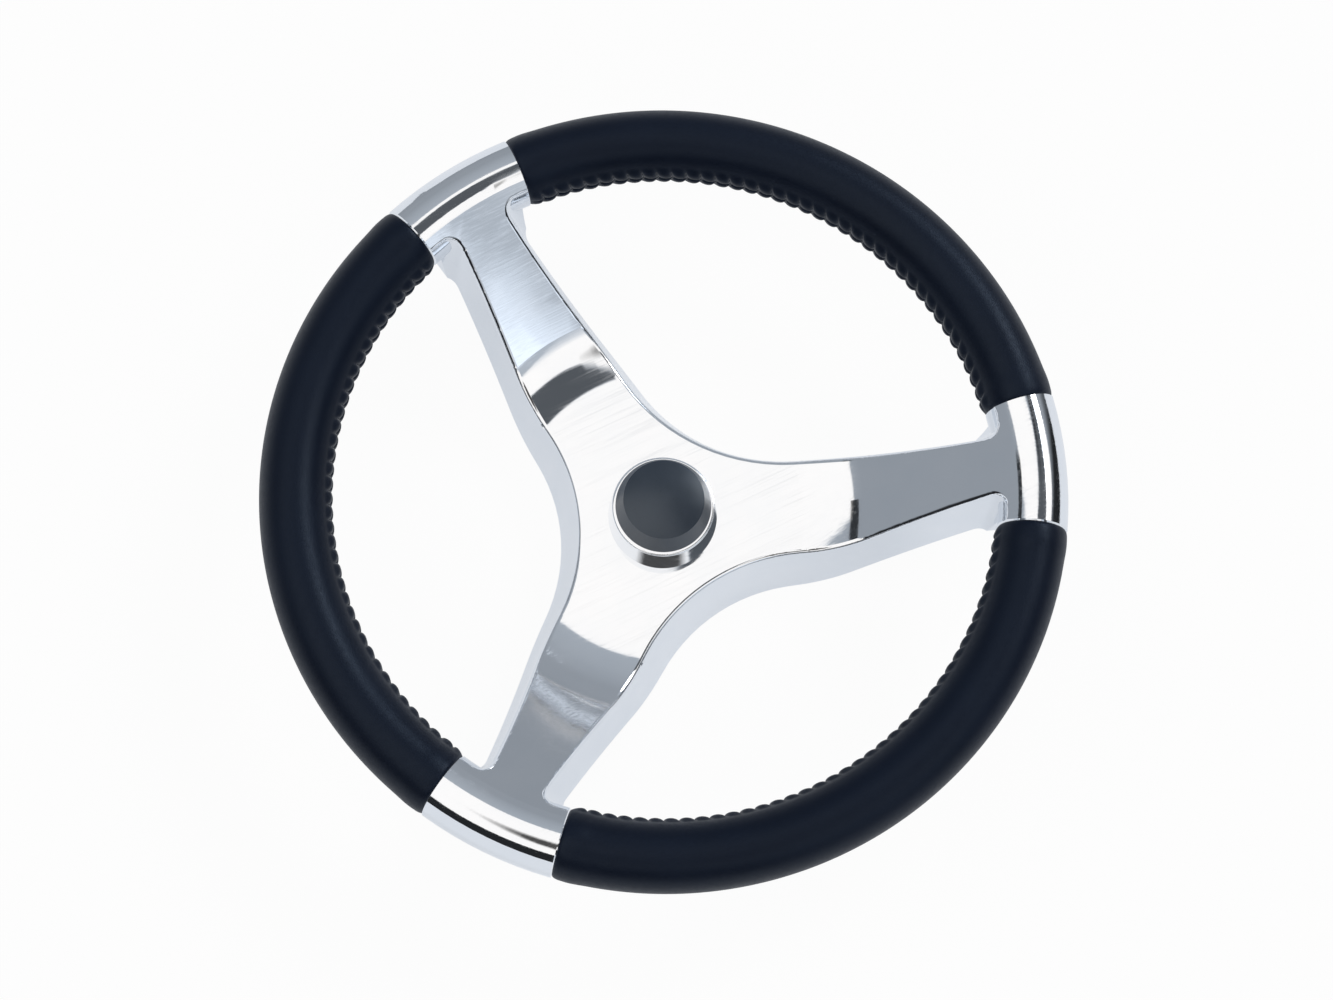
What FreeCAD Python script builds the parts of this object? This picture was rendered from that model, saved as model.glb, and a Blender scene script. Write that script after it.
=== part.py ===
import FreeCAD, Part
import math
import os

from FreeCAD import Vector

# Stainless three-spoke boat steering wheel with stitched leather grips.
# Lengths are millimetres. The wheel lies face up on its hub: +Z is the shaft axis towards the
# helmsman, the origin is the centre of the hub's back face and the first spoke points along +X.

# Rim and grips
WHEEL_DIAMETER = 343.0
RIM_WIDTH = 29.8
RIM_DEPTH = 32.0
RIM_CROWN_RADIUS = 14.2
RIM_CORE_DIAMETER = 16.0
LEATHER_THICKNESS = 1.3
GLUE_GAP = 0.1
GRIP_END_GAP = 0.3
GRIP_END_ROUNDING = 1.0

# Hub and spokes, sizes along the shaft and on the front face
SPOKE_COUNT = 3
HUB_DEPTH = 27.5
DISH = 40.8
SPOKE_RISE_ANGLE = 37.5
SPOKE_BEND_RADIUS = 47.0
SPOKE_DEPTH_AT_RIM = 30.5
SPOKE_BACK_ANGLE = 34.5
BACK_BEND_RADIUS = 45.0
SPOKE_ROOT_RADIUS = 60.0
SPOKE_ROOT_WIDTH = 40.8
SPOKE_ROOT_DRAFT = 16.3
SPOKE_TIP_WIDTH = 24.0
SPOKE_TIP_DRAFT = 10.5
WAIST_RADIUS = 84.0
CORNER_RADIUS = 6.0
FRONT_EDGE_RADIUS = 2.0

# Rim sleeves, where the spokes meet the rim
SLEEVE_HALF_ANGLE = 9.9
SLEEVE_WALL_SETBACK = 2.3
SLEEVE_WALL_DRAFT = 4.4
SLEEVE_WALL_DEPTH = 14.0
SLEEVE_OVERLAP = 1.0

# Hollow back of the casting
SIDE_WALL = 4.0
FRONT_PLATE = 4.5
TIP_WALL = 7.0
POCKET_CORNER_RADIUS = 4.0
RIB_THICKNESS = 4.0
RIB_SETBACK = 7.0

# Shaft socket: standard 3/4 in marine taper, one inch per foot, with a 3/16 in key
TAPER_LARGE_DIAMETER = 19.05
TAPER_RATIO = 1.0 / 12.0
KEY_WIDTH = 4.76
KEY_SLOT_DEPTH = 2.4
BOSS_DIAMETER = 42.0
NUT_RECESS_DIAMETER = 29.0
NUT_RECESS_DEPTH = 3.6

# Hub cap: a turned collar pressed on the hub's spigot and a moulded cap pushed into it
SPIGOT_DIAMETER = 35.0
SPIGOT_HEIGHT = 6.0
PRESS_GAP = 0.05
COLLAR_BASE_DIAMETER = 47.4
COLLAR_TOP_DIAMETER = 44.2
COLLAR_HEIGHT = 15.5
COLLAR_LIP_RADIUS = 0.9
CAP_SHADOW_GAP = 0.3
CAP_DIAMETER = 42.0
CAP_CREASE_DIAMETER = 34.8
CAP_RISE = 11.0
CAP_CROWN = 2.2
CAP_WALL = 2.2
CAP_EDGE_RADIUS = 0.8
CAP_SKIRT_LENGTH = 8.5
CAP_SKIRT_CLEARANCE = 0.3
O_RING_SECTION = 2.0
O_RING_RUNNING_GAP = 0.05

# Seam along the inside of each grip
SEAM_GROOVE_DIAMETER = 1.8
THREAD_DIAMETER = 1.3
THREAD_SINK = 0.35

# Places that follow from the sizes above
AXIS = Vector(0, 0, 1)
ORIGIN = Vector(0, 0, 0)
SECTOR = 360.0 / SPOKE_COUNT
RIM_RADIUS = (WHEEL_DIAMETER - RIM_WIDTH) / 2
RIM_HALF_WIDTH = RIM_WIDTH / 2
RIM_HALF_DEPTH = RIM_DEPTH / 2
RIM_Z = HUB_DEPTH + DISH
RIM_INNER_RADIUS = RIM_RADIUS - RIM_HALF_WIDTH
ROOT_DRAFT = math.tan(math.radians(SPOKE_ROOT_DRAFT))
TIP_DRAFT = math.tan(math.radians(SPOKE_TIP_DRAFT))
WALL_DRAFT = math.tan(math.radians(SLEEVE_WALL_DRAFT))
SPOKE_RISE = math.tan(math.radians(SPOKE_RISE_ANGLE))
BACK_RISE = math.tan(math.radians(SPOKE_BACK_ANGLE))
GRIP_HALF_ANGLE = SECTOR / 2 - SLEEVE_HALF_ANGLE - math.degrees(GRIP_END_GAP / RIM_RADIUS)
GRIP_NAMES = ["upper_right", "left", "lower_right"]
OVERCUT = 1.0
TOUCHING = 0.01


def polar(radius, degrees, z=0.0):
    """Point at a radius and an angle about the shaft axis."""
    angle = math.radians(degrees)
    return Vector(radius * math.cos(angle), radius * math.sin(angle), z)


def below(point):
    """Mirror image of a point across the first spoke's centre line."""
    return Vector(point.x, -point.y, point.z)


def straight(start, end):
    return Part.LineSegment(start, end).toShape()


def curved(start, middle, end):
    return Part.Arc(start, middle, end).toShape()


def closed_polygon(points):
    return Part.makePolygon(points + points[:1])


def turned(profile, start_angle=0.0, swept_angle=360.0):
    """Solid of revolution of a wire or face that stands in the radius-height plane."""
    face = profile.Faces[0] if profile.Faces else Part.Face(profile)
    return face.rotated(ORIGIN, AXIS, start_angle).revolve(ORIGIN, AXIS, swept_angle)


def around(shape):
    """One copy of a shape for each spoke."""
    return [shape.rotated(ORIGIN, AXIS, number * SECTOR) for number in range(SPOKE_COUNT)]


def tangent_bend(foot, rise_angle, radius):
    """Arc that leads from a level line into one that climbs outwards from a foot point."""
    half = math.radians(rise_angle / 2)
    start = Vector(foot.x - radius * math.tan(half), 0, foot.z)
    middle = start + Vector(math.sin(half), 0, 1 - math.cos(half)) * radius
    end = start + Vector(math.sin(2 * half), 0, 1 - math.cos(2 * half)) * radius
    return start, middle, end


def flank_radius():
    """Radius of the rim section's inner and outer flanks, which run into its crowns."""
    crown_centre = RIM_HALF_DEPTH - RIM_CROWN_RADIUS
    numerator = RIM_HALF_WIDTH ** 2 + crown_centre ** 2 - RIM_CROWN_RADIUS ** 2
    return numerator / (2 * (RIM_HALF_WIDTH - RIM_CROWN_RADIUS))


def rim_section(inset=0.0):
    """Oval section of the rim in four tangent arcs, or of a layer under its surface."""
    crown_centre = RIM_HALF_DEPTH - RIM_CROWN_RADIUS
    flank_centre = flank_radius() - RIM_HALF_WIDTH
    lean = math.atan2(flank_centre, crown_centre)
    crown = RIM_CROWN_RADIUS - inset
    joint = Vector(crown * math.sin(lean), 0, crown_centre + crown * math.cos(lean))
    side = Vector(RIM_HALF_WIDTH - inset, 0, 0)
    top = Vector(0, 0, RIM_HALF_DEPTH - inset)
    joints = [Vector(across * joint.x, 0, along * joint.z)
              for across, along in ((1, 1), (-1, 1), (-1, -1), (1, -1))]
    arcs = [
        curved(joints[0], top, joints[1]),
        curved(joints[1], -side, joints[2]),
        curved(joints[2], -top, joints[3]),
        curved(joints[3], side, joints[0]),
    ]
    section = Part.Face(Part.Wire(arcs))
    return section.translated(Vector(RIM_RADIUS, 0, RIM_Z))


def front_touch(lowered=0.0):
    """Where the sloping front face runs out on top of the rim section, optionally lowered."""
    crown_centre = RIM_HALF_DEPTH - RIM_CROWN_RADIUS
    flank_centre = flank_radius() - RIM_HALF_WIDTH
    rise = math.radians(SPOKE_RISE_ANGLE)
    if rise < math.atan2(flank_centre, crown_centre):
        centre, radius = Vector(0, 0, crown_centre), RIM_CROWN_RADIUS
    else:
        centre, radius = Vector(flank_centre, 0, 0), flank_radius()
    offset = centre + Vector(-math.sin(rise), 0, math.cos(rise)) * radius
    return Vector(RIM_RADIUS, 0, RIM_Z - lowered) + offset


def slope_height(radius):
    """Height of the sloping front face at a radius."""
    touch = front_touch()
    return touch.z - (touch.x - radius) * SPOKE_RISE


def front_edges(lowered=0.0):
    """Dished front line from the axis to the rim, optionally lowered."""
    touch = front_touch(lowered)
    level = HUB_DEPTH - lowered
    foot = Vector(touch.x - (touch.z - level) / SPOKE_RISE, 0, level)
    start, middle, end = tangent_bend(foot, SPOKE_RISE_ANGLE, SPOKE_BEND_RADIUS)
    return [straight(Vector(0, 0, level), start), curved(start, middle, end), straight(end, touch)]


def dish_solid():
    """All that lies between the dished front and back faces, out to the rim."""
    touch = front_touch()
    back_at_rim = Vector(RIM_INNER_RADIUS, 0, slope_height(RIM_INNER_RADIUS) - SPOKE_DEPTH_AT_RIM)
    back_foot = Vector(back_at_rim.x - back_at_rim.z / BACK_RISE, 0, 0)
    inside_rim = RIM_Z - RIM_HALF_DEPTH + SLEEVE_OVERLAP
    back_end = Vector(back_at_rim.x + (inside_rim - back_at_rim.z) / BACK_RISE, 0, inside_rim)
    middle_end = Vector(back_end.x, 0, RIM_Z)
    middle_touch = Vector(touch.x, 0, RIM_Z)
    start, middle, end = tangent_bend(back_foot, SPOKE_BACK_ANGLE, BACK_BEND_RADIUS)
    edges = front_edges()
    edges.append(straight(touch, middle_touch))
    edges.append(straight(middle_touch, middle_end))
    edges.append(straight(middle_end, back_end))
    edges.append(straight(back_end, end))
    edges.append(curved(end, middle, start))
    edges.append(straight(start, ORIGIN))
    edges.append(straight(ORIGIN, Vector(0, 0, HUB_DEPTH)))
    return turned(Part.Wire(edges))


def sleeve_wall_radius(z):
    """Radius of a sleeve's inner wall, which leans towards the hub as it goes back."""
    depth = slope_height(RIM_INNER_RADIUS) - z
    return RIM_INNER_RADIUS + SLEEVE_WALL_SETBACK - depth * WALL_DRAFT


def side_line(z, inset):
    """A spoke's side in plan at one height, as the intercept and slope of a line."""
    root = SPOKE_ROOT_WIDTH / 2 + (HUB_DEPTH - z) * ROOT_DRAFT
    tip = SPOKE_TIP_WIDTH / 2 + (slope_height(RIM_INNER_RADIUS) - z) * TIP_DRAFT
    slope = (tip - root) / (RIM_INNER_RADIUS - SPOKE_ROOT_RADIUS)
    return root - slope * SPOKE_ROOT_RADIUS - inset * math.hypot(1, slope), slope


def waist_points(z, inset):
    """Concave arc from the first spoke's side to the next spoke's."""
    intercept, slope = side_line(z, inset)
    radius = WAIST_RADIUS - (HUB_DEPTH - z) * ROOT_DRAFT + inset
    bisector = SECTOR / 2
    across = math.sin(math.radians(bisector)) - slope * math.cos(math.radians(bisector))
    centre_radius = (intercept + radius * math.hypot(1, slope)) / across
    centre = polar(centre_radius, bisector, z)
    side_angle = math.degrees(math.atan(slope)) - 90
    start = centre + polar(radius, side_angle)
    middle = centre - polar(radius, bisector)
    end = centre + polar(radius, SECTOR - side_angle)
    return start, middle, end


def corner_points(z):
    """Small concave arc from the first spoke's side to its sleeve's inner wall."""
    intercept, slope = side_line(z, 0.0)
    length = math.hypot(1, slope)
    raised = intercept + CORNER_RADIUS * length
    a = length ** 2
    half_b = slope * raised
    c = raised ** 2 - (sleeve_wall_radius(z) - CORNER_RADIUS) ** 2
    centre_x = (math.sqrt(half_b ** 2 - a * c) - half_b) / a
    centre = Vector(centre_x, raised + slope * centre_x, z)
    outwards = Vector(centre.x, centre.y, 0).normalize()
    sideways = Vector(slope, -1, 0) / length
    on_side = centre + sideways * CORNER_RADIUS
    middle = centre + (outwards + sideways).normalize() * CORNER_RADIUS
    on_wall = centre + outwards * CORNER_RADIUS
    return on_side, middle, on_wall


def star_outline(z):
    """Plan at one height of the hub, the spokes and their ends across the sleeves."""
    waist = waist_points(z, 0.0)
    on_side, corner_middle, on_wall = corner_points(z)
    wall_angle = math.degrees(math.atan2(on_wall.y, on_wall.x))
    wall_middle = polar(sleeve_wall_radius(z), (wall_angle + SLEEVE_HALF_ANGLE) / 2, z)
    wall_end = polar(sleeve_wall_radius(z), SLEEVE_HALF_ANGLE, z)
    outer_end = polar(RIM_RADIUS, SLEEVE_HALF_ANGLE, z)
    edges = [
        straight(below(waist[0]), below(on_side)),
        curved(below(on_side), below(corner_middle), below(on_wall)),
        curved(below(on_wall), below(wall_middle), below(wall_end)),
        straight(below(wall_end), below(outer_end)),
        curved(below(outer_end), polar(RIM_RADIUS, 0, z), outer_end),
        straight(outer_end, wall_end),
        curved(wall_end, wall_middle, on_wall),
        curved(on_wall, corner_middle, on_side),
        straight(on_side, waist[0]),
        curved(*waist),
    ]
    return whole_outline(edges)


def pocket_outline(z):
    """Plan at one height of the hollow in the back, one side wall in from the star."""
    waist = waist_points(z, SIDE_WALL)
    intercept, slope = side_line(z, SIDE_WALL)
    length = math.hypot(1, slope)
    tip = RIM_INNER_RADIUS - TIP_WALL
    centre_x = tip - POCKET_CORNER_RADIUS
    centre = Vector(centre_x, intercept + slope * centre_x - POCKET_CORNER_RADIUS * length, z)
    upwards = Vector(-slope, 1, 0) / length
    outwards = Vector(1, 0, 0)
    on_side = centre + upwards * POCKET_CORNER_RADIUS
    middle = centre + (upwards + outwards).normalize() * POCKET_CORNER_RADIUS
    on_tip = centre + outwards * POCKET_CORNER_RADIUS
    edges = [
        straight(below(waist[0]), below(on_side)),
        curved(below(on_side), below(middle), below(on_tip)),
        straight(below(on_tip), on_tip),
        curved(on_tip, middle, on_side),
        straight(on_side, waist[0]),
        curved(*waist),
    ]
    return whole_outline(edges)


def whole_outline(edges):
    """Closed wire of one spoke's edges repeated around the hub."""
    return Part.Wire([edge for number in range(SPOKE_COUNT) for edge in
                      [each.rotated(ORIGIN, AXIS, number * SECTOR) for each in edges]])


def drafted(outline):
    """Solid with drafted sides, ruled between an outline's lowest and highest plans."""
    return Part.makeLoft([outline(-OVERCUT), outline(RIM_Z + RIM_HALF_DEPTH)], True, True)


def rounded_front(spider):
    """The same solid with the border of its front face rolled over."""
    front = Part.Wire(front_edges()).revolve(ORIGIN, AXIS, 360)
    front_faces = [face for face in spider.Faces if lies_on(face, front)]
    border = []
    for edge in spider.Edges:
        owners = [face for face in front_faces if any(edge.isSame(side) for side in face.Edges)]
        middle = edge.valueAt((edge.FirstParameter + edge.LastParameter) / 2)
        on_side = math.hypot(middle.x, middle.y) < sleeve_wall_radius(middle.z) + TOUCHING
        if len(owners) == 1 and on_side:
            border.append(edge)
    return spider.makeFillet(FRONT_EDGE_RADIUS, border)


def lies_on(face, skin):
    u_low, u_high, v_low, v_high = face.ParameterRange
    point = face.valueAt((u_low + u_high) / 2, (v_low + v_high) / 2)
    return Part.Vertex(point).distToShape(skin)[0] < TOUCHING


def back_pocket(dish):
    """The hollow behind the front plate, around the shaft boss and the spokes' ribs."""
    edges = front_edges(FRONT_PLATE)
    top_start = edges[0].Vertexes[0].Point
    top_end = edges[-1].Vertexes[-1].Point
    low_start = Vector(0, 0, -OVERCUT)
    low_end = Vector(top_end.x, 0, -OVERCUT)
    edges += [straight(top_end, low_end), straight(low_end, low_start), straight(low_start, top_start)]
    hollow = drafted(pocket_outline).common(turned(Part.Wire(edges)))
    boss = Part.makeCylinder(BOSS_DIAMETER / 2, HUB_DEPTH)
    corner = Vector(0, -RIB_THICKNESS / 2, 0)
    slab = Part.makeBox(RIM_RADIUS, RIB_THICKNESS, RIM_Z + RIM_HALF_DEPTH, corner)
    rib = slab.common(dish.translated(Vector(0, 0, RIB_SETBACK)))
    return hollow.cut([boss] + around(rib))


def behind_sleeve_arms():
    """Space behind both arms of each sleeve's wall, which are shallower than the spoke."""
    top = slope_height(RIM_INNER_RADIUS) - SLEEVE_WALL_DEPTH
    on_wall = corner_points(top)[2]
    start = math.degrees(math.atan2(on_wall.y, on_wall.x))
    corners = [
        Vector(RIM_INNER_RADIUS - CORNER_RADIUS, 0, -OVERCUT),
        Vector(RIM_RADIUS, 0, -OVERCUT),
        Vector(RIM_RADIUS, 0, top),
        Vector(RIM_INNER_RADIUS - CORNER_RADIUS, 0, top),
    ]
    arm = turned(closed_polygon(corners), start, SLEEVE_HALF_ANGLE + OVERCUT - start)
    return around(arm) + around(arm.mirror(ORIGIN, Vector(0, 1, 0)))


def shaft_socket():
    """Tapered bore with its key slot, opening into the nut's recess in the front."""
    floor = HUB_DEPTH - NUT_RECESS_DEPTH
    top = HUB_DEPTH + SPIGOT_HEIGHT
    large = TAPER_LARGE_DIAMETER / 2
    small = large - floor * TAPER_RATIO / 2
    bore = Part.makeCone(large, small, floor)
    recess = Part.makeCylinder(NUT_RECESS_DIAMETER / 2, top - floor, Vector(0, 0, floor))
    side = Vector(0, -KEY_WIDTH / 2, 0)
    corners = [ORIGIN, Vector(large + KEY_SLOT_DEPTH, 0, 0), Vector(small + KEY_SLOT_DEPTH, 0, floor),
               Vector(0, 0, floor)]
    slot = Part.Face(closed_polygon([corner + side for corner in corners])).extrude(Vector(0, KEY_WIDTH, 0))
    return bore.fuse([recess, slot])


def make_wheel_casting():
    """Hub, spokes, sleeves and the slim rim core under the grips, cast in one piece."""
    dish = dish_solid()
    spider = rounded_front(drafted(star_outline).common(dish))
    spider = spider.cut([back_pocket(dish)] + behind_sleeve_arms())
    sleeve = turned(rim_section(), -SLEEVE_HALF_ANGLE, 2 * SLEEVE_HALF_ANGLE)
    core = Part.makeTorus(RIM_RADIUS, RIM_CORE_DIAMETER / 2, Vector(0, 0, RIM_Z))
    spigot = Part.makeCylinder(SPIGOT_DIAMETER / 2, SPIGOT_HEIGHT, Vector(0, 0, HUB_DEPTH))
    casting = spider.fuse(around(sleeve) + [core, spigot])
    return casting.cut(shaft_socket()).removeSplitter()


def grip_layer(outer, inner):
    """Bent tube between two sections, centred half-way between the first two spokes."""
    return turned(outer.cut(inner), SECTOR / 2 - GRIP_HALF_ANGLE, 2 * GRIP_HALF_ANGLE)


def make_padding():
    """Foam moulded on the rim core, which fills out the grip under its leather."""
    core = Part.makeCircle(RIM_CORE_DIAMETER / 2 + GLUE_GAP, Vector(RIM_RADIUS, 0, RIM_Z), Vector(0, 1, 0))
    return grip_layer(rim_section(LEATHER_THICKNESS + GLUE_GAP), Part.Face(Part.Wire(core)))


def section_circle(radius, centre):
    """Round face that stands in the radius-height plane."""
    return Part.Face(Part.Wire(Part.makeCircle(radius, centre, Vector(0, 1, 0))))


def is_outer_end(edge):
    """Whether an edge of a grip's tube is the outer rim of one of its ends."""
    middle = edge.valueAt((edge.FirstParameter + edge.LastParameter) / 2)
    start = edge.valueAt(edge.FirstParameter)
    same_end = abs(math.atan2(middle.y, middle.x) - math.atan2(start.y, start.x)) < TOUCHING
    height = max(abs(middle.z - RIM_Z), abs(start.z - RIM_Z))
    width = max(abs(math.hypot(point.x, point.y) - RIM_RADIUS) for point in (middle, start))
    return same_end and (height > RIM_HALF_DEPTH - TOUCHING or width > RIM_HALF_WIDTH - TOUCHING)


def make_leather():
    """Leather sleeve around the padding, with a groove where its edges are drawn together."""
    tube = grip_layer(rim_section(), rim_section(LEATHER_THICKNESS))
    tube = tube.makeFillet(GRIP_END_ROUNDING, [edge for edge in tube.Edges if is_outer_end(edge)])
    groove = section_circle(SEAM_GROOVE_DIAMETER / 2, Vector(RIM_INNER_RADIUS, 0, RIM_Z))
    return tube.cut(turned(groove, 0, SECTOR))


def make_stitching():
    """Thread that closes the seam, laid in its groove."""
    centre = Vector(RIM_INNER_RADIUS + THREAD_SINK - THREAD_DIAMETER / 2, 0, RIM_Z)
    reach = 2 * GRIP_HALF_ANGLE
    return turned(section_circle(THREAD_DIAMETER / 2, centre), SECTOR / 2 - GRIP_HALF_ANGLE, reach)


def collar_top():
    return HUB_DEPTH + COLLAR_HEIGHT


def collar_bore_radius():
    return SPIGOT_DIAMETER / 2 + PRESS_GAP


def make_cap_collar():
    """Turned ring that stands on the hub around its spigot and holds the cap."""
    bore = collar_bore_radius()
    base = COLLAR_BASE_DIAMETER / 2
    top = COLLAR_TOP_DIAMETER / 2
    corners = [
        Vector(bore, 0, HUB_DEPTH),
        Vector(base, 0, HUB_DEPTH),
        Vector(top, 0, collar_top()),
        Vector(bore, 0, collar_top()),
    ]
    ring = turned(closed_polygon(corners))
    lip = [edge for edge in ring.Edges if is_circle_at(edge, top, collar_top())]
    return ring.makeFillet(COLLAR_LIP_RADIUS, lip)


def is_circle_at(edge, radius, z):
    point = edge.valueAt(edge.FirstParameter)
    return abs(math.hypot(point.x, point.y) - radius) < TOUCHING and abs(point.z - z) < TOUCHING


def make_hub_cap():
    """Moulded cap: a bevelled dome over the collar, with a skirt and its groove inside it."""
    seat = collar_top() + CAP_SHADOW_GAP
    shoulder = seat + CAP_RISE
    summit = shoulder + CAP_CROWN
    rim = CAP_DIAMETER / 2
    crease = CAP_CREASE_DIAMETER / 2
    skirt = collar_bore_radius() - CAP_SKIRT_CLEARANCE
    skirt_end = seat - CAP_SKIRT_LENGTH
    hollow = skirt - CAP_WALL - O_RING_SECTION
    crown_radius = (crease ** 2 + CAP_CROWN ** 2) / (2 * CAP_CROWN)
    half_crown = math.asin(crease / crown_radius) / 2
    crown_middle = Vector(crown_radius * math.sin(half_crown), 0,
                          summit - crown_radius * (1 - math.cos(half_crown)))
    edges = [
        straight(Vector(0, 0, summit), Vector(0, 0, shoulder - CAP_WALL)),
        straight(Vector(0, 0, shoulder - CAP_WALL), Vector(hollow, 0, shoulder - 2 * CAP_WALL)),
        straight(Vector(hollow, 0, shoulder - 2 * CAP_WALL), Vector(hollow, 0, skirt_end)),
        straight(Vector(hollow, 0, skirt_end), Vector(skirt, 0, skirt_end)),
        straight(Vector(skirt, 0, skirt_end), Vector(skirt, 0, seat)),
        straight(Vector(skirt, 0, seat), Vector(rim, 0, seat)),
        straight(Vector(rim, 0, seat), Vector(crease, 0, shoulder)),
        curved(Vector(crease, 0, shoulder), crown_middle, Vector(0, 0, summit)),
    ]
    cap = turned(Part.Wire(edges))
    brims = [edge for edge in cap.Edges if is_circle_at(edge, rim, seat)]
    cap = cap.makeFillet(CAP_EDGE_RADIUS, brims)
    groove_depth = O_RING_SECTION + O_RING_RUNNING_GAP
    groove_floor = collar_bore_radius() - O_RING_RUNNING_GAP - groove_depth
    groove = [
        Vector(groove_floor, 0, o_ring_height() - groove_depth / 2),
        Vector(skirt + OVERCUT, 0, o_ring_height() - groove_depth / 2),
        Vector(skirt + OVERCUT, 0, o_ring_height() + groove_depth / 2),
        Vector(groove_floor, 0, o_ring_height() + groove_depth / 2),
    ]
    return cap.cut(turned(closed_polygon(groove)))


def o_ring_height():
    return collar_top() + CAP_SHADOW_GAP - CAP_SKIRT_LENGTH / 2


def make_o_ring():
    """Rubber ring in the cap's skirt that grips the collar's bore."""
    centre = collar_bore_radius() - O_RING_RUNNING_GAP - O_RING_SECTION / 2
    return Part.makeTorus(centre, O_RING_SECTION / 2, Vector(0, 0, o_ring_height()))


def make_nodes():
    nodes = {
        "wheel_casting": make_wheel_casting(),
        "cap_collar": make_cap_collar(),
        "hub_cap": make_hub_cap(),
        "hub_cap_o_ring": make_o_ring(),
    }
    layers = {"padding": make_padding(), "leather": make_leather(), "stitching": make_stitching()}
    for layer, first in layers.items():
        for name, shape in zip(GRIP_NAMES, around(first)):
            nodes[name + "_grip_" + layer] = shape
    return {name: shape.Solids[0] for name, shape in nodes.items()}


os.makedirs("parts", exist_ok=True)
for node, shape in make_nodes().items():
    print(node, "valid", shape.isValid(), "volume", round(shape.Volume))
    shape.exportStep("parts/" + node + ".step")
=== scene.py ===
import bpy
import math
import numpy as np
from mathutils import Matrix, Vector


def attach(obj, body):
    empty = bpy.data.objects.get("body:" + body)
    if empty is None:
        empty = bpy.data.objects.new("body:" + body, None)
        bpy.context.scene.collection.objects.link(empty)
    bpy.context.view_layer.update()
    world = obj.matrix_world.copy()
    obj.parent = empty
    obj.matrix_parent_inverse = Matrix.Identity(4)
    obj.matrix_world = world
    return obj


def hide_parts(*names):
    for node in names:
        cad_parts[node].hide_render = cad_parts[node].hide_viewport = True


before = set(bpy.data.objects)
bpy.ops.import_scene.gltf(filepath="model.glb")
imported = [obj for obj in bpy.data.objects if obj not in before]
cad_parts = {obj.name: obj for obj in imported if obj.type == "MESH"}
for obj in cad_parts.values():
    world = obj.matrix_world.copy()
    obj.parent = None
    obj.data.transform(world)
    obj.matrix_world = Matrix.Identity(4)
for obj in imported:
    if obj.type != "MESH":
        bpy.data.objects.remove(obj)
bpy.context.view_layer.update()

# Wheel casting: hub, spokes and rim sleeves of stainless steel, cast in one piece.
# It is ground and buffed to a mirror, so fine polishing lines are all that is left on it.
POLISH_LINE_LENGTH = 0.04
POLISH_LINE_WIDTH = 0.0009
POLISH_LINE_TURN = math.radians(22)
POLISH_LINE_DEPTH = 0.000005
MIRROR_ROUGHNESS = 0.04
POLISH_LINE_ROUGHNESS = 0.16
CLOUD_ROUGHNESS = 0.03
CASTING_DARK = (0.80, 0.832, 0.872)
CASTING_LIGHT = (0.83, 0.855, 0.89)


class Tone:
    """A shader socket that takes part in sums and feeds other nodes."""

    def __init__(self, tree, socket):
        self.tree = tree
        self.socket = socket

    def node(self, kind, output=0, settings=None, **inputs):
        """A new node: its settings are set first, then its inputs, by name or as i and a number."""
        made = self.tree.nodes.new("ShaderNode" + kind)
        for name, value in (settings or {}).items():
            setattr(made, name, value)
        for name, value in inputs.items():
            slot = made.inputs[int(name[1:]) if name[1:].isdigit() else name]
            if isinstance(value, Tone):
                self.tree.links.new(value.socket, slot)
            else:
                slot.default_value = value
        return Tone(self.tree, made.outputs[output])

    def math(self, operation, first, second=0.0):
        return self.node("Math", settings={"operation": operation}, i0=first, i1=second)

    def __add__(self, other):
        return self.math("ADD", self, other)

    def __sub__(self, other):
        return self.math("SUBTRACT", self, other)

    def __rsub__(self, other):
        return self.math("SUBTRACT", other, self)

    def __mul__(self, other):
        return self.math("MULTIPLY", self, other)

    def __truediv__(self, other):
        return self.math("DIVIDE", self, other)

    def __rtruediv__(self, other):
        return self.math("DIVIDE", other, self)

    def __abs__(self):
        return self.math("ABSOLUTE", self)

    __radd__ = __add__
    __rmul__ = __mul__

    def highest(self, other):
        return self.math("MAXIMUM", self, other)

    def root(self):
        return self.math("SQRT", self)

    def between(self, low, high, low_value=0.0, high_value=1.0):
        """The stretch from low to high, spread over two new values and held at its ends."""
        return self.node("MapRange", i0=self, i1=low, i2=high, i3=low_value, i4=high_value)

    def mixed(self, first, second):
        """A colour that goes from the first to the second as the tone goes from 0 to 1."""
        return self.node("Mix", output=2, settings={"data_type": "RGBA"}, i0=self,
                         i6=(*first, 1.0), i7=(*second, 1.0))

    def stretched(self, along, across, up, turn=0.0):
        """The same places measured in these lengths, with the first one turned about the shaft."""
        return self.node("Mapping", settings={"vector_type": "TEXTURE"}, i0=self,
                         i2=(0, 0, turn), i3=(along, across, up))

    def noise(self, scale, detail, roughness):
        return self.node("TexNoise", Vector=self, Scale=scale, Detail=detail, Roughness=roughness)


def new_material(name):
    """A material, its shader, and the places on the piece that its patterns are drawn by."""
    material = bpy.data.materials.new(name)
    material.use_nodes = True
    tree = material.node_tree
    places = tree.nodes.new("ShaderNodeTexCoord")
    return material, tree.nodes["Principled BSDF"], Tone(tree, places.outputs["Object"])


def feed(node, name, tone):
    tone.tree.links.new(tone.socket, node.inputs[name])


def bumped(shader, tone, distance, strength=1.0):
    feed(shader, "Normal", tone.node("Bump", Height=tone, Distance=distance, Strength=strength))


def dress(piece, material):
    piece.data.materials.clear()
    piece.data.materials.append(material)


def smooth(piece, degrees):
    """Shade a piece as round, apart from the edges that are sharper than this angle."""
    bpy.ops.object.select_all(action="DESELECT")
    piece.select_set(True)
    bpy.context.view_layer.objects.active = piece
    bpy.ops.object.shade_smooth_by_angle(angle=math.radians(degrees))


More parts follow.
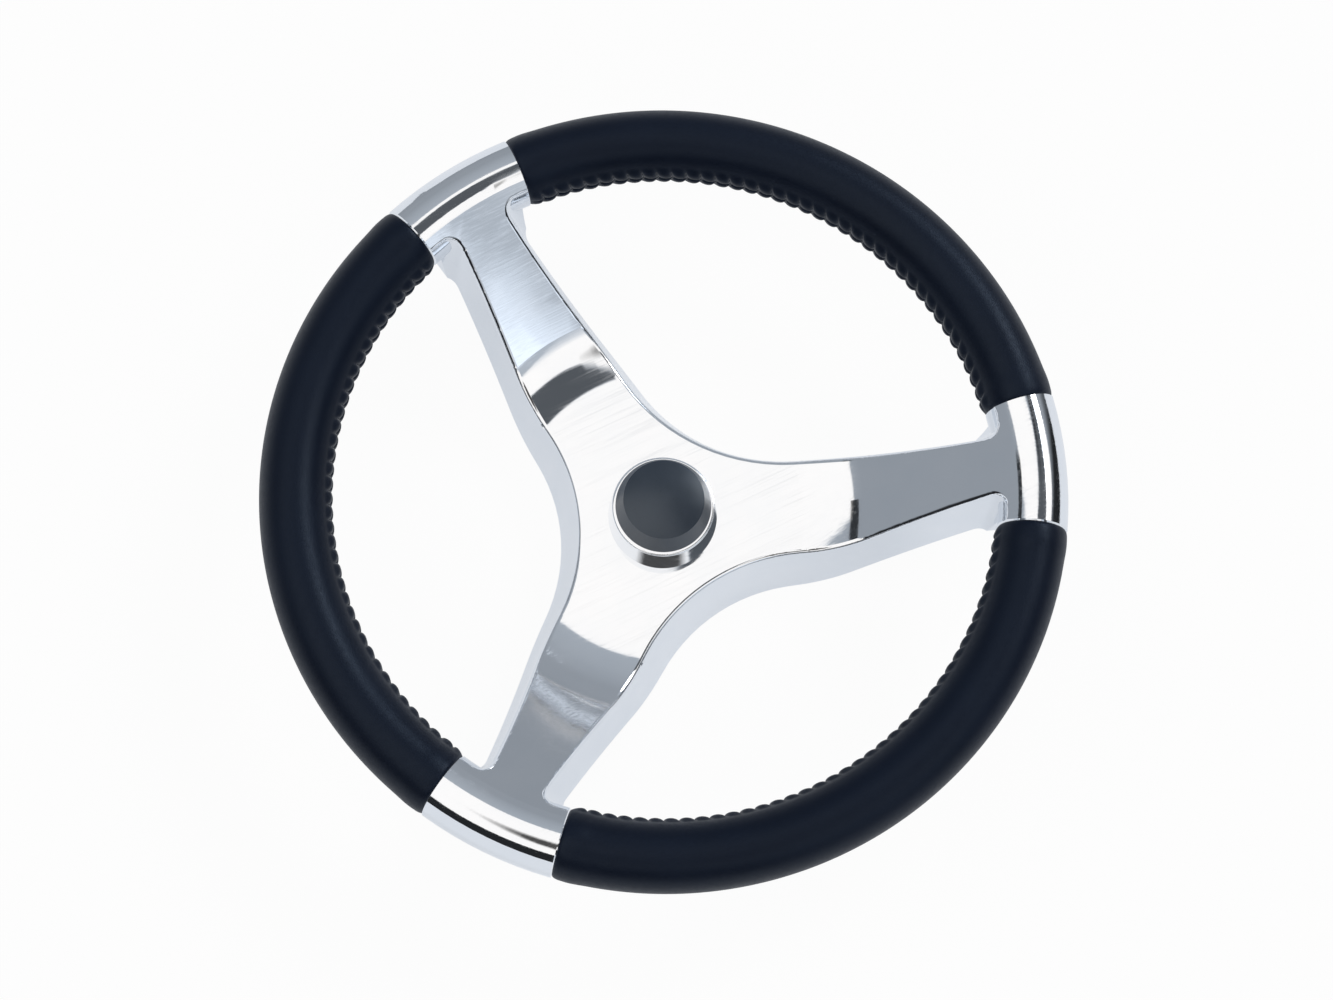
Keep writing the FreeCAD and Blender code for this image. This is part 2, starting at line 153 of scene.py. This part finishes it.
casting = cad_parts["wheel_casting"]
steel, shader, places = new_material("polished_stainless")
lines = places.stretched(POLISH_LINE_LENGTH, POLISH_LINE_WIDTH, POLISH_LINE_WIDTH, POLISH_LINE_TURN)
lines = lines.noise(1.0, detail=4.0, roughness=0.6)
clouds = places.noise(55.0, detail=3.0, roughness=0.5)
line_roughness = lines.between(0.45, 0.8, MIRROR_ROUGHNESS, POLISH_LINE_ROUGHNESS)
shader.inputs["Metallic"].default_value = 1.0
feed(shader, "Roughness", line_roughness + clouds.between(0.35, 0.75, 0.0, CLOUD_ROUGHNESS))
feed(shader, "Base Color", clouds.between(0.3, 0.7).mixed(CASTING_DARK, CASTING_LIGHT))
bumped(shader, lines, POLISH_LINE_DEPTH)
smooth(casting, 30)
dress(casting, steel)

# Cap collar: a ring turned from stainless bar and polished with the casting.
# The lathe leaves faint lines around it.
LATHE_LINE_LENGTH = 0.125
LATHE_LINE_WIDTH = 0.0004
LATHE_LINE_DEPTH = 0.000004
COLLAR_DARK = (0.79, 0.822, 0.865)
COLLAR_LIGHT = (0.83, 0.855, 0.89)

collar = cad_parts["cap_collar"]
turned_steel, shader, places = new_material("turned_stainless")
rings = places.stretched(LATHE_LINE_LENGTH, LATHE_LINE_LENGTH, LATHE_LINE_WIDTH)
rings = rings.noise(1.0, detail=2.0, roughness=0.5)
shader.inputs["Metallic"].default_value = 1.0
feed(shader, "Base Color", rings.between(0.3, 0.7).mixed(COLLAR_DARK, COLLAR_LIGHT))
feed(shader, "Roughness", rings.between(0.3, 0.7, 0.03, 0.075))
bumped(shader, rings, LATHE_LINE_DEPTH)
smooth(collar, 30)
dress(collar, turned_steel)

# Hub cap: moulded in black plastic with a bevelled edge, pushed into the collar.
# Its skin is satin, with the faint grain of the mould, and it is kept out of the steel's
# reflections, as the photograph shows the spokes without it.
MOULD_GRAIN_DEPTH = 0.00002
CAP_DARK = (0.012, 0.019, 0.032)
CAP_LIGHT = (0.019, 0.027, 0.042)

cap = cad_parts["hub_cap"]
plastic, shader, places = new_material("cap_plastic")
grain = places.noise(2600.0, detail=3.0, roughness=0.6)
wear = places.noise(90.0, detail=4.0, roughness=0.6)
shader.inputs["Specular IOR Level"].default_value = 0.85
shader.inputs["Specular Tint"].default_value = (0.8, 0.9, 1.0, 1.0)
feed(shader, "Base Color", wear.between(0.3, 0.75).mixed(CAP_DARK, CAP_LIGHT))
feed(shader, "Roughness", grain.between(0.3, 0.7, 0.27, 0.35) + wear.between(0.4, 0.8, 0.0, 0.05))
bumped(shader, grain, MOULD_GRAIN_DEPTH, strength=0.5)
smooth(cap, 24)
dress(cap, plastic)
cap.visible_glossy = False

# O-ring: black rubber, in the groove of the cap's plug, where it holds the cap by its grip.
# It is moulded, with a dull skin and a little dust.
RUBBER_DARK = (0.012, 0.012, 0.013)
RUBBER_DUSTY = (0.03, 0.03, 0.032)

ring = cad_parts["hub_cap_o_ring"]
rubber, shader, places = new_material("o_ring_rubber")
dust = places.noise(900.0, detail=3.0, roughness=0.6)
feed(shader, "Base Color", dust.between(0.3, 0.8).mixed(RUBBER_DARK, RUBBER_DUSTY))
feed(shader, "Roughness", dust.between(0.3, 0.8, 0.45, 0.65))
smooth(ring, 60)
dress(ring, rubber)

# Grip covers: one piece of smooth leather wrapped around the foam of each grip.
# Its edges are drawn together by hand stitching along the inside, which gathers them
# into a row of small scallops, and its ends are tucked in against the sleeves.
WHEEL_DIAMETER = 0.343
RIM_HEIGHT = 0.0683
HALF_WIDTH = 0.0298 / 2
HALF_DEPTH = 0.0320 / 2
RIM_RADIUS = WHEEL_DIAMETER / 2 - HALF_WIDTH
GAP_AT_SLEEVE = 0.0003
GRIP_HALF_ANGLE = math.radians(50.1) - GAP_AT_SLEEVE / RIM_RADIUS
GRIPS = (("upper_right", 60), ("left", 180), ("lower_right", 300))

SCALLOPS = 39
RINGS_PER_SCALLOP = 14
RINGS = SCALLOPS * RINGS_PER_SCALLOP
RING_SPACING = 2 * GRIP_HALF_ANGLE * RIM_RADIUS / RINGS
SECTION_POINTS = 144

END_RINGS = 7
END_ROUNDING = 0.0016
END_SWELL = 0.00025
SWELL_FROM_END = 0.007
SWELL_WIDTH = 0.004

GATHER_HEIGHT = 0.0020
GATHER_SINK = 0.0007
GATHER_REACH = 0.0075
GATHER_FADE = 0.0045
GATHER_FROM_END = 0.006
GATHER_BALANCE = 0.85
SCALLOPS_LEANT_PER_METRE = 40
SEAM_DEPTH = 0.0011
SEAM_WIDTH = 0.0007

LEATHER_GRAIN_DEPTH = 0.00009
LEATHER_DARK = (0.0007, 0.0026, 0.0105)
LEATHER_LIGHT = (0.0012, 0.0038, 0.0135)

# The cover starts as a plain oval tube, spun along the grip and closed at its ends.
bpy.ops.object.select_all(action="DESELECT")
bpy.ops.mesh.primitive_circle_add(vertices=SECTION_POINTS, radius=1.0)
cover = bpy.context.object
bpy.ops.object.mode_set(mode="EDIT")
bpy.ops.transform.rotate(value=math.pi / 2, orient_axis="X", center_override=(0, 0, 0))
bpy.ops.transform.resize(value=(HALF_WIDTH, 1.0, HALF_DEPTH), center_override=(0, 0, 0))
bpy.ops.transform.translate(value=(RIM_RADIUS, 0, RIM_HEIGHT))
bpy.ops.transform.rotate(value=-GRIP_HALF_ANGLE, orient_axis="Z", center_override=(0, 0, 0))
bpy.ops.mesh.spin(steps=RINGS, angle=2 * GRIP_HALF_ANGLE, center=(0, 0, 0), axis=(0, 0, 1))
bpy.ops.mesh.select_all(action="DESELECT")
bpy.ops.mesh.select_non_manifold(extend=False)
bpy.ops.mesh.fill_holes(sides=0)
bpy.ops.mesh.select_all(action="SELECT")
bpy.ops.mesh.normals_make_consistent(inside=False)
bpy.ops.object.mode_set(mode="OBJECT")

# Each point's place: its turn about the shaft, and its angle around the grip's section.
points = np.empty(len(cover.data.vertices) * 3)
cover.data.vertices.foreach_get("co", points)
points = points.reshape(-1, 3)
radius = np.hypot(points[:, 0], points[:, 1])
turn = np.arctan2(points[:, 1], points[:, 0])
around = np.arctan2((points[:, 2] - RIM_HEIGHT) / HALF_DEPTH, (radius - RIM_RADIUS) / HALF_WIDTH)

# The last rings at each end crowd together and roll inwards, where the edge is tucked in.
ring_number = (turn / GRIP_HALF_ANGLE + 1) / 2 * RINGS
rings_to_end = np.minimum(ring_number, RINGS - ring_number)
at_end = rings_to_end < END_RINGS
rolled = np.clip(rings_to_end / END_RINGS, 0, 1)
roll_in = END_ROUNDING * (1 - np.cos(rolled * math.pi / 2))
roll_down = END_ROUNDING * (1 - np.sin(rolled * math.pi / 2))
crowded = roll_in + (END_RINGS * RING_SPACING - END_ROUNDING) * rolled ** 3
to_end = np.where(at_end, crowded, rings_to_end * RING_SPACING)
side = np.where(ring_number < RINGS / 2, -1.0, 1.0)
turn = side * (GRIP_HALF_ANGLE - to_end / RIM_RADIUS)
tucked = np.where(at_end, roll_down, 0.0)
swell = END_SWELL * np.exp(-((to_end - SWELL_FROM_END) / SWELL_WIDTH) ** 2)

# The scallops lean away from the seam and fade out on the way to the plain leather.
from_seam = np.abs(np.abs(around) - math.pi) * HALF_DEPTH
phase = (turn + GRIP_HALF_ANGLE) / (2 * GRIP_HALF_ANGLE) * SCALLOPS - from_seam * SCALLOPS_LEANT_PER_METRE
share = phase % 1.0
lump = np.sqrt(np.clip(1 - (2 * share ** GATHER_BALANCE - 1) ** 2, 0, 1))
near_seam = np.clip((GATHER_REACH - from_seam) / GATHER_FADE, 0, 1)
near_seam = near_seam * near_seam * (3 - 2 * near_seam)
clear_of_end = np.clip(to_end / GATHER_FROM_END, 0, 1)
gathered = (GATHER_HEIGHT * lump - GATHER_SINK) * near_seam * clear_of_end
seam = SEAM_DEPTH * np.exp(-(from_seam / SEAM_WIDTH) ** 2) * clear_of_end

# Every point moves along the normal of the oval.
out = gathered - seam + swell - tucked
across = np.cos(around) / HALF_WIDTH
upwards = np.sin(around) / HALF_DEPTH
length = np.hypot(across, upwards)
radius = RIM_RADIUS + HALF_WIDTH * np.cos(around) + out * across / length
height = RIM_HEIGHT + HALF_DEPTH * np.sin(around) + out * upwards / length
points = np.stack([radius * np.cos(turn), radius * np.sin(turn), height], 1)
cover.data.vertices.foreach_set("co", points.ravel())
cover.data.update()
smooth(cover, 50)

leather, shader, places = new_material("grip_leather")
pores = places.node("TexVoronoi", Vector=places, Scale=2100.0)
creases = places.noise(420.0, detail=5.0, roughness=0.65)
shade = places.noise(26.0, detail=3.0, roughness=0.5)
shader.inputs["Specular IOR Level"].default_value = 0.3
shader.inputs["Specular Tint"].default_value = (0.62, 0.78, 1.0, 1.0)
feed(shader, "Base Color", shade.between(0.3, 0.72).mixed(LEATHER_DARK, LEATHER_LIGHT))
feed(shader, "Roughness", creases.between(0.3, 0.7, 0.37, 0.46) + shade.between(0.3, 0.7, 0.0, 0.05))
bumped(shader, pores * 0.5 + creases, LEATHER_GRAIN_DEPTH, strength=0.55)


def on_each_grip(first, layer, finish):
    """Copies of a piece for the three grips, fixed to the wheel and kept out of reflections."""
    copies = []
    for name, degrees in GRIPS:
        piece = first.copy()
        piece.data = first.data.copy()
        piece.name = name + "_" + layer
        bpy.context.collection.objects.link(piece)
        piece.data.transform(Matrix.Rotation(math.radians(degrees), 4, "Z"))
        dress(piece, finish)
        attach(piece, "wheel")
        piece.visible_glossy = False
        copies.append((name, piece))
    bpy.data.objects.remove(first)
    return copies


for name, piece in on_each_grip(cover, "leather", leather):
    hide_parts(name + "_grip_leather", name + "_grip_padding")

# Seam thread: one waxed thread per grip, drawn across the seam between every two scallops.
# Each stitch is a short taut bridge between the two edges of the leather.
STITCH_HALF_SIZE = (0.00045, 0.00042, 0.0021)
STITCH_LEAN = math.radians(14)
STITCH_SINK = 0.0002
STRAND_DEPTH = 0.00006
THREAD_DARK = (0.004, 0.007, 0.016)
THREAD_LIGHT = (0.012, 0.018, 0.034)

seam_middle = (RIM_RADIUS - HALF_WIDTH + STITCH_SINK, 0, RIM_HEIGHT)
stitches = []
for number in range(1, SCALLOPS):
    bpy.ops.mesh.primitive_uv_sphere_add(segments=12, ring_count=10, radius=1.0, location=seam_middle)
    stitch = bpy.context.object
    stitch.scale = STITCH_HALF_SIZE
    stitch.rotation_euler = (STITCH_LEAN, 0, 0)
    bpy.ops.object.transform_apply(location=True, rotation=True, scale=True)
    stitch.rotation_euler = (0, 0, GRIP_HALF_ANGLE * (2 * number / SCALLOPS - 1))
    bpy.ops.object.transform_apply(location=True, rotation=True, scale=True)
    stitches.append(stitch)
for stitch in stitches:
    stitch.select_set(True)
bpy.context.view_layer.objects.active = stitches[0]
bpy.ops.object.join()
seam_thread = bpy.context.object
smooth(seam_thread, 60)

thread, shader, places = new_material("grip_thread")
strands = places.noise(5200.0, detail=2.0, roughness=0.5)
feed(shader, "Base Color", strands.between(0.3, 0.7).mixed(THREAD_DARK, THREAD_LIGHT))
feed(shader, "Roughness", strands.between(0.3, 0.7, 0.5, 0.7))
bumped(shader, strands, STRAND_DEPTH)
for name, piece in on_each_grip(seam_thread, "stitching", thread):
    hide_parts(name + "_grip_stitching")

# Floor: a plain white sheet under the wheel, which keeps the wheel's soft shadow.
# It shows almost white to the camera, and a little greyer in the steel.
FLOOR_SIZE = 8.0
FLOOR_DROP = 0.0002
FLOOR_DARK = (0.86, 0.865, 0.87)
FLOOR_LIGHT = (0.88, 0.885, 0.89)
WHITE_TO_CAMERA = 0.95
WHITE_IN_STEEL = 0.6
PLAIN_WHITE = (1, 1, 1)
COOL_WHITE = (0.94, 0.98, 1.04)

bpy.ops.mesh.primitive_plane_add(size=FLOOR_SIZE, location=(0, 0, -FLOOR_DROP))
floor = bpy.context.object
floor_material, shader, places = new_material("floor")
shader.inputs["Roughness"].default_value = 0.9
shader.inputs["Specular IOR Level"].default_value = 0.0
paper = places.noise(2.0, detail=2.0, roughness=0.5)
feed(shader, "Base Color", paper.between(0.2, 0.8).mixed(FLOOR_DARK, FLOOR_LIGHT))
to_camera = places.node("LightPath", output="Is Camera Ray")
through_glass = places.node("LightPath", output="Is Transmission Ray")
in_steel = places.node("LightPath", output="Is Glossy Ray")
share_white = to_camera.highest(through_glass) * WHITE_TO_CAMERA + in_steel * WHITE_IN_STEEL
glow = places.node("Emission", Color=in_steel.mixed(PLAIN_WHITE, COOL_WHITE), Strength=1.0)
sheet = Tone(floor_material.node_tree, shader.outputs["BSDF"])
surface = places.node("MixShader", i0=share_white, i1=sheet, i2=glow)
feed(floor_material.node_tree.nodes["Material Output"], "Surface", surface)
dress(floor, floor_material)

# Studio: grey walls that grow lighter upwards and a broad white ceiling panel over the wheel.
# Dark and light cards hang among them and give the steel its reflections. A card's place is
# measured as the photograph shows it, to the right and up, on a plane one unit overhead.
PHOTO_UP = math.radians(81.2)
WALL_FOOT_LEVEL = 0.33
WALL_LEVEL = 0.36
WALL_TOP_EXTRA = 0.12
CORNER_LEVEL = 0.87
CORNER_TOP_LEVEL = 0.18
CEILING_LEVEL = 1.12
STRIP_LEVEL = 7.0
DARK_SIDE_SHARE = 0.94
DARK_CARD_SHARE = 0.9
CAMERA_GAP_SHARE = 0.93
BOOM_COSINE, BOOM_SINE = 0.654, 0.757
WALL_TINT = (0.91, 0.98, 1.07)
CEILING_TINT = (1.06, 1.02, 0.98)

world = bpy.data.worlds.new("studio")
bpy.context.scene.world = world
world.use_nodes = True
background = world.node_tree.nodes["Background"]
coordinates = world.node_tree.nodes.new("ShaderNodeTexCoord")
heading = Tone(world.node_tree, coordinates.outputs["Generated"])
east, north, rise = (heading.node("SeparateXYZ", output=number, i0=heading) for number in range(3))
overhead = rise.highest(0.02)
panel_right = (east * math.sin(PHOTO_UP) - north * math.cos(PHOTO_UP)) / overhead
panel_up = (east * math.cos(PHOTO_UP) + north * math.sin(PHOTO_UP)) / overhead


def card(right, up, middle, half, corner, blur):
    """One where a direction meets a rectangle with round corners overhead, and zero elsewhere."""
    past_side = (abs(right - middle[0]) - (half[0] - corner)).highest(0.0)
    past_end = (abs(up - middle[1]) - (half[1] - corner)).highest(0.0)
    distance = (past_side * past_side + past_end * past_end).root()
    return distance.between(corner - blur, corner + blur, 1.0, 0.0)


def toward(degrees, narrow, wide):
    """One within the narrow angle of this heading, and zero outside the wide one."""
    turn = math.radians(degrees)
    facing = east * math.cos(turn) + north * math.sin(turn)
    return facing.between(math.cos(math.radians(wide)), math.cos(math.radians(narrow)))


panel = card(panel_right, panel_up, middle=(-0.05, -0.63), half=(1.15, 0.965), corner=0.12, blur=0.012)
cut_off = (panel_right - panel_up).between(1.5, 2.15, 1.0, 0.0)
wing = card(panel_right, panel_up, middle=(0.98, 0.5), half=(0.62, 0.32), corner=0.15, blur=0.03)
ceiling = (panel * cut_off).highest(wing)
strip = card(panel_right, panel_up, middle=(0.84, 0.86), half=(0.28, 0.4), corner=0.25, blur=0.08)
left_gap = card(panel_right, panel_up, middle=(-1.28, 0.51), half=(0.2, 0.29), corner=0.06, blur=0.02)
camera_gap = card(panel_right, panel_up, middle=(0.05, -0.56), half=(0.36, 0.25), corner=0.22, blur=0.06)
boom_along = panel_right * BOOM_COSINE - panel_up * BOOM_SINE
boom_across = panel_right * BOOM_SINE + panel_up * BOOM_COSINE
boom = card(boom_along, boom_across, middle=(0.192, 0.446), half=(0.31, 0.37), corner=0.14, blur=0.015)

walls = rise.between(0.0, 0.3, WALL_FOOT_LEVEL, WALL_LEVEL) + rise.between(0.5, 0.96, 0.0, WALL_TOP_EXTRA)
lit_corner = toward(311, narrow=36, wide=48) * rise.between(0.34, 0.4)
lit_corner = lit_corner * rise.between(0.49, 0.532, CORNER_LEVEL, CORNER_TOP_LEVEL)
dark_side = toward(236, narrow=48, wide=60).highest(toward(354, narrow=26, wide=38))
dark_side = dark_side * rise.between(0.5, 0.56, 1.0, 0.0)
level = (walls + lit_corner) * (1 - dark_side * DARK_SIDE_SHARE)
level = level + ceiling * (CEILING_LEVEL - level)
level = level * (1 - boom * DARK_CARD_SHARE) * (1 - left_gap * DARK_CARD_SHARE)
level = level * (1 - camera_gap * CAMERA_GAP_SHARE)
level = level + strip * STRIP_LEVEL
tint = (ceiling * (1 - boom)).mixed(WALL_TINT, CEILING_TINT)
feed(background, "Color", tint.node("VectorMath", settings={"operation": "SCALE"}, i0=tint, i3=level))
background.inputs["Strength"].default_value = 1.0

# Camera: where the photograph was taken from, in front of the wheel and a little below its
# shaft axis, with the picture turned slightly.
VIEW_TILT = math.radians(15.45)
VIEW_ROLL = math.radians(4.8)
VIEW_DISTANCE = 1.4
SENSOR_WIDTH = 36.0
FOCAL_LENGTH = 89.15
PHOTO_PIXELS = 1333
PIXELS_RIGHT = 1.85
PIXELS_UP = -9.25

upward = Vector((math.cos(PHOTO_UP), math.sin(PHOTO_UP), 0))
sideward = Vector((upward.y, -upward.x, 0))
shaft = Vector((0, 0, 1))
back = -upward * math.sin(VIEW_TILT) + shaft * math.cos(VIEW_TILT)
raised = upward * math.cos(VIEW_TILT) + shaft * math.sin(VIEW_TILT)
right = sideward * math.cos(VIEW_ROLL) + raised * math.sin(VIEW_ROLL)
up = -sideward * math.sin(VIEW_ROLL) + raised * math.cos(VIEW_ROLL)
bpy.ops.object.camera_add()
camera = bpy.context.object
camera.matrix_world = Matrix((right, up, back)).transposed().to_4x4()
camera.location = shaft * RIM_HEIGHT + back * VIEW_DISTANCE
camera.data.sensor_width = SENSOR_WIDTH
camera.data.lens = FOCAL_LENGTH
camera.data.shift_x = PIXELS_RIGHT / PHOTO_PIXELS
camera.data.shift_y = PIXELS_UP / PHOTO_PIXELS
bpy.context.scene.camera = camera
bpy.context.scene.view_settings.view_transform = "Standard"
